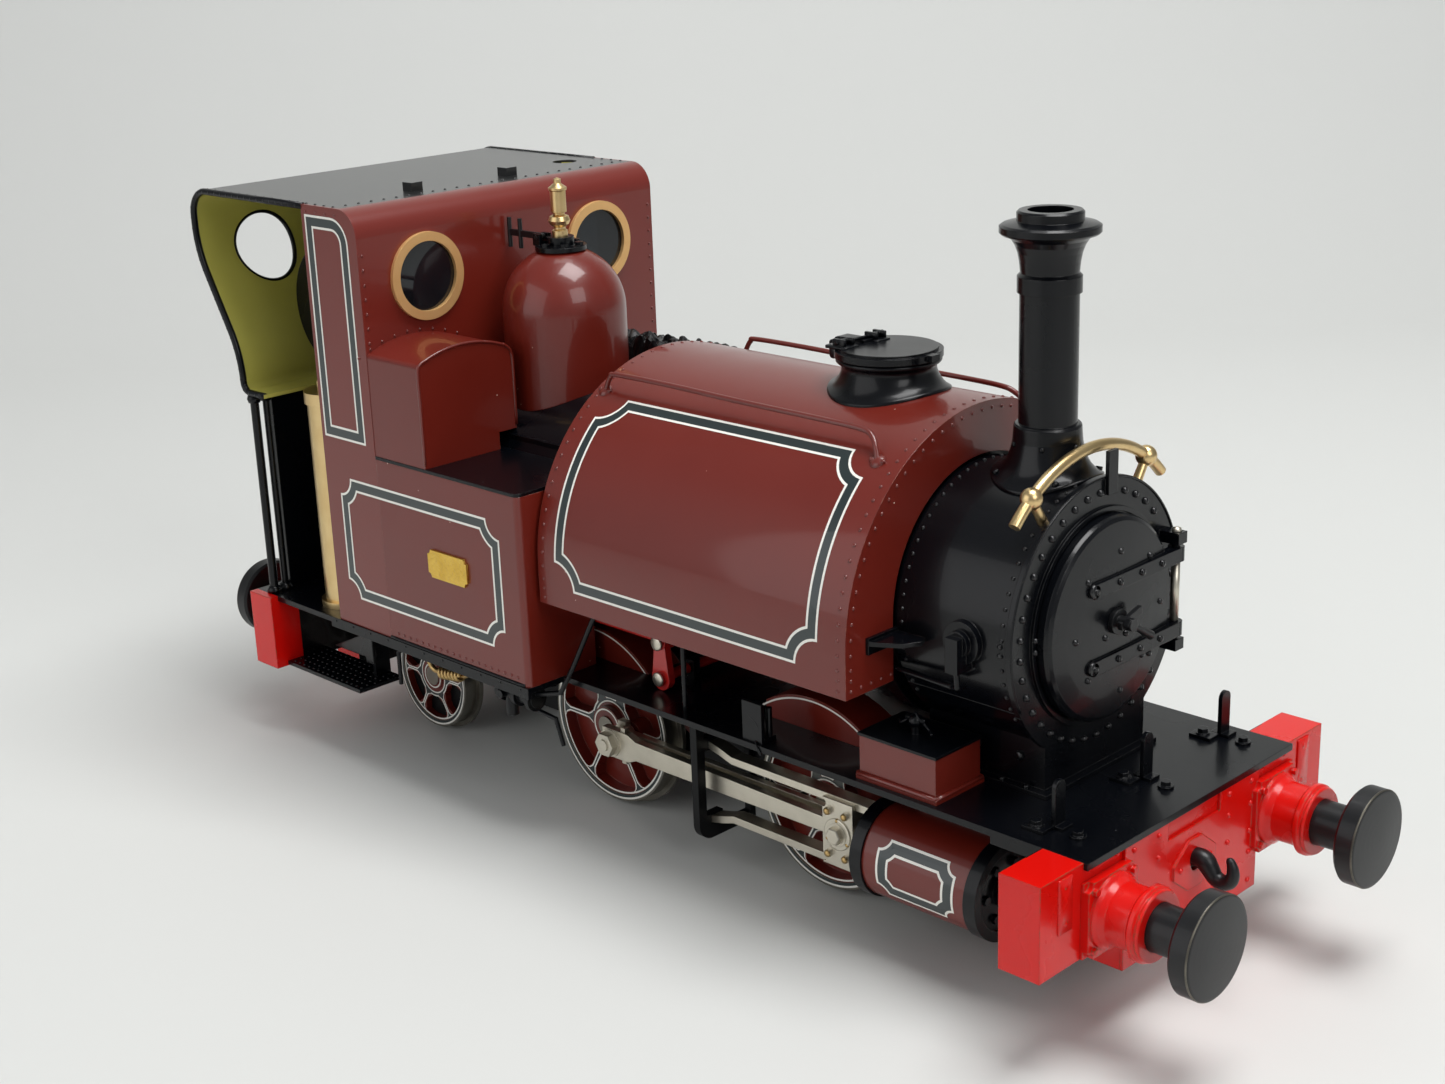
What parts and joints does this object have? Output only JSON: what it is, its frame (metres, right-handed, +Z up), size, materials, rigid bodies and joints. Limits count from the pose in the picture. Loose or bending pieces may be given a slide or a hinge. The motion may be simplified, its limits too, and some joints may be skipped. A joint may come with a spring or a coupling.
{
  "type": "live steam engine",
  "caption": "Model live steam tank locomotive with saddle tank, open backed cab, dome, tall chimney, outside cylinders, working rods and sprung buffers.",
  "frame": {"origin": "middle of the length between the buffer faces, on the centreline, at the bottom of the wheel flanges", "axes": "+X to the chimney end, +Y to the engine's left, +Z up"},
  "size_m": [0.3046, 0.0984, 0.1513],
  "materials": {
    "maroon_enamel": "gloss enamel, deep maroon",
    "black_enamel": "satin black enamel",
    "frame_black": "satin black enamel on the frames and motion brackets",
    "buffer_red": "gloss signal red enamel",
    "roof_black": "black enamel outside, olive green inside",
    "motion_steel": "machined and polished steel",
    "tyre_steel": "turned steel",
    "dark_steel": "blackened steel",
    "brass": "polished brass",
    "window_glass": "dark clear glass",
    "coal": "crushed coal, matt with bright faces",
    "smokebox_black": "heat resistant semi-matt black"
  },
  "bodies": {
    "engine": {"main_frames": "frame_black", "footplate": "black_enamel", "buffer_beams": "buffer_red", "buffer_stocks": "buffer_red", "draw_hooks": "dark_steel", "boiler": "black_enamel", "smokebox": "smokebox_black", "chimney": "smokebox_black", "saddle_tank": "maroon_enamel", "tank_filler": "black_enamel", "tank_handrails": "maroon_enamel", "dome": "maroon_enamel", "dome_flange": "black_enamel", "safety_valve": "brass", "cab_front": "maroon_enamel", "cab_roof": "roof_black", "cab_pillars": "black_enamel", "porthole_rims": "brass", "porthole_glass": "window_glass", "bunkers": "maroon_enamel", "bunker_tops": "black_enamel", "side_plates": "brass", "tool_box": "maroon_enamel", "coal": "coal", "lubricator": "brass", "gas_tank": "black_enamel", "cylinders": "maroon_enamel", "cylinder_covers": "black_enamel", "slide_bars": "motion_steel", "motion_brackets": "frame_black", "sandboxes": "maroon_enamel", "splashers": "maroon_enamel", "platform_fittings": "black_enamel", "underframe": "black_enamel", "smokebox_handrail": "brass"},
    "rear_wheelset": {"rear_wheels": "maroon_enamel", "rear_tyres": "tyre_steel"},
    "front_wheelset": {"front_wheels": "maroon_enamel", "front_tyres": "tyre_steel"},
    "trailing_wheelset": {"trailing_wheels": "maroon_enamel", "trailing_tyres": "tyre_steel"},
    "right_coupling_rod": {"coupling_rod_right": "motion_steel"},
    "left_coupling_rod": {"coupling_rod_left": "motion_steel"},
    "right_connecting_rod": {"connecting_rod_right": "motion_steel"},
    "left_connecting_rod": {"connecting_rod_left": "motion_steel"},
    "right_crosshead": {"crosshead_right": "motion_steel"},
    "left_crosshead": {"crosshead_left": "motion_steel"},
    "smokebox_door": {"smokebox_door": "smokebox_black"},
    "door_dart": {"door_dart": "dark_steel"},
    "filler_lid": {"filler_lid": "black_enamel"},
    "front_right_buffer": {"buffer_front_right": "dark_steel"},
    "front_left_buffer": {"buffer_front_left": "dark_steel"},
    "rear_right_buffer": {"buffer_rear_right": "dark_steel"},
    "rear_left_buffer": {"buffer_rear_left": "dark_steel"},
    "valve_arm": {"valve_arm": "dark_steel"},
    "gas_valve": {"gas_valve": "brass"},
    "regulator": {"regulator": "motion_steel"},
    "reversing_lever": {"reversing_lever": "motion_steel"},
    "reach_rod": {"reach_rod": "buffer_red"},
    "weighshaft": {"weighshaft": "buffer_red"}
  },
  "joints": [
    {"name": "rear_axle", "type": "hinge", "parent": "engine", "child": "rear_wheelset", "pos_m": [-0.0213, 0, 0.0207], "axis": [0, 1, 0], "continuous": true},
    {"name": "front_axle", "type": "hinge", "parent": "engine", "child": "front_wheelset", "pos_m": [0.0484, 0, 0.0207], "axis": [0, 1, 0], "continuous": true},
    {"name": "trailing_axle", "type": "hinge", "parent": "engine", "child": "trailing_wheelset", "pos_m": [-0.092, 0, 0.0152], "axis": [0, 1, 0], "continuous": true},
    {"name": "right_coupling_pin", "type": "hinge", "parent": "rear_wheelset", "child": "right_coupling_rod", "pos_m": [-0.0133, -0.02185, 0.0207], "axis": [0, 1, 0], "continuous": true},
    {"name": "left_coupling_pin", "type": "hinge", "parent": "rear_wheelset", "child": "left_coupling_rod", "pos_m": [-0.0213, 0.02185, 0.0287], "axis": [0, 1, 0], "continuous": true},
    {"name": "right_crosshead_slide", "type": "slide", "parent": "engine", "child": "right_crosshead", "axis": [1, 0, 0], "range_m": [-0.016, 0]},
    {"name": "left_crosshead_slide", "type": "slide", "parent": "engine", "child": "left_crosshead", "axis": [1, 0, 0], "range_m": [-0.00756, 0.00844]},
    {"name": "right_gudgeon", "type": "hinge", "parent": "right_crosshead", "child": "right_connecting_rod", "pos_m": [0.0597, -0.0252, 0.0207], "axis": [0, 1, 0], "range_deg": [-6.29, 6.29]},
    {"name": "left_gudgeon", "type": "hinge", "parent": "left_crosshead", "child": "left_connecting_rod", "pos_m": [0.05126, 0.0252, 0.0207], "axis": [0, 1, 0], "range_deg": [-12.58, 0]},
    {"name": "smokebox_door_hinge", "type": "hinge", "parent": "engine", "child": "smokebox_door", "pos_m": [0.1077, 0.0224, 0.0721], "axis": [0, 0, 1], "range_deg": [0, 110]},
    {"name": "dart_spindle", "type": "hinge", "parent": "smokebox_door", "child": "door_dart", "pos_m": [0.1046, 0, 0.0721], "axis": [1, 0, 0], "range_deg": [0, 90]},
    {"name": "filler_lid_hinge", "type": "hinge", "parent": "engine", "child": "filler_lid", "pos_m": [0.0386, 0, 0.1187], "axis": [0, -1, 0], "range_deg": [0, 110]},
    {"name": "front_right_buffer_slide", "type": "slide", "parent": "engine", "child": "front_right_buffer", "axis": [-1, 0, 0], "range_m": [0, 0.003], "stiffness_N_per_m": 900, "springref_m": -0.001},
    {"name": "front_left_buffer_slide", "type": "slide", "parent": "engine", "child": "front_left_buffer", "axis": [-1, 0, 0], "range_m": [0, 0.003], "stiffness_N_per_m": 900, "springref_m": -0.001},
    {"name": "rear_right_buffer_slide", "type": "slide", "parent": "engine", "child": "rear_right_buffer", "axis": [1, 0, 0], "range_m": [0, 0.003], "stiffness_N_per_m": 900, "springref_m": -0.001},
    {"name": "rear_left_buffer_slide", "type": "slide", "parent": "engine", "child": "rear_left_buffer", "axis": [1, 0, 0], "range_m": [0, 0.003], "stiffness_N_per_m": 900, "springref_m": -0.001},
    {"name": "valve_arm_pivot", "type": "hinge", "parent": "engine", "child": "valve_arm", "pos_m": [-0.0559, -0.0022, 0.13264], "axis": [0, 1, 0], "range_deg": [0, 8]},
    {"name": "gas_valve_spindle", "type": "hinge", "parent": "engine", "child": "gas_valve", "pos_m": [-0.1084, 0, 0.0926], "axis": [0, 0, 1], "range_deg": [0, 720]},
    {"name": "regulator_spindle", "type": "hinge", "parent": "engine", "child": "regulator", "pos_m": [-0.0799, 0, 0.0861], "axis": [1, 0, 0], "range_deg": [0, 60]},
    {"name": "reversing_lever_pivot", "type": "hinge", "parent": "engine", "child": "reversing_lever", "pos_m": [-0.076, -0.0248, 0.0423], "axis": [0, -1, 0], "range_deg": [0, 22]},
    {"name": "weighshaft_spin", "type": "hinge", "parent": "engine", "child": "weighshaft", "pos_m": [0.0065, 0, 0.0423], "axis": [0, -1, 0], "range_deg": [0, 22]},
    {"name": "reach_rod_pin", "type": "hinge", "parent": "reversing_lever", "child": "reach_rod", "pos_m": [-0.076, -0.0248, 0.0509], "axis": [0, -1, 0], "range_deg": [-22, 0]}
  ],
  "couplings": [
    {"joint": "front_axle", "follows": "rear_axle", "ratio": 1},
    {"joint": "right_coupling_pin", "follows": "rear_axle", "ratio": -1},
    {"joint": "left_coupling_pin", "follows": "rear_axle", "ratio": -1},
    {"joint": "weighshaft_spin", "follows": "reversing_lever_pivot", "ratio": 1},
    {"joint": "reach_rod_pin", "follows": "reversing_lever_pivot", "ratio": -1}
  ]
}
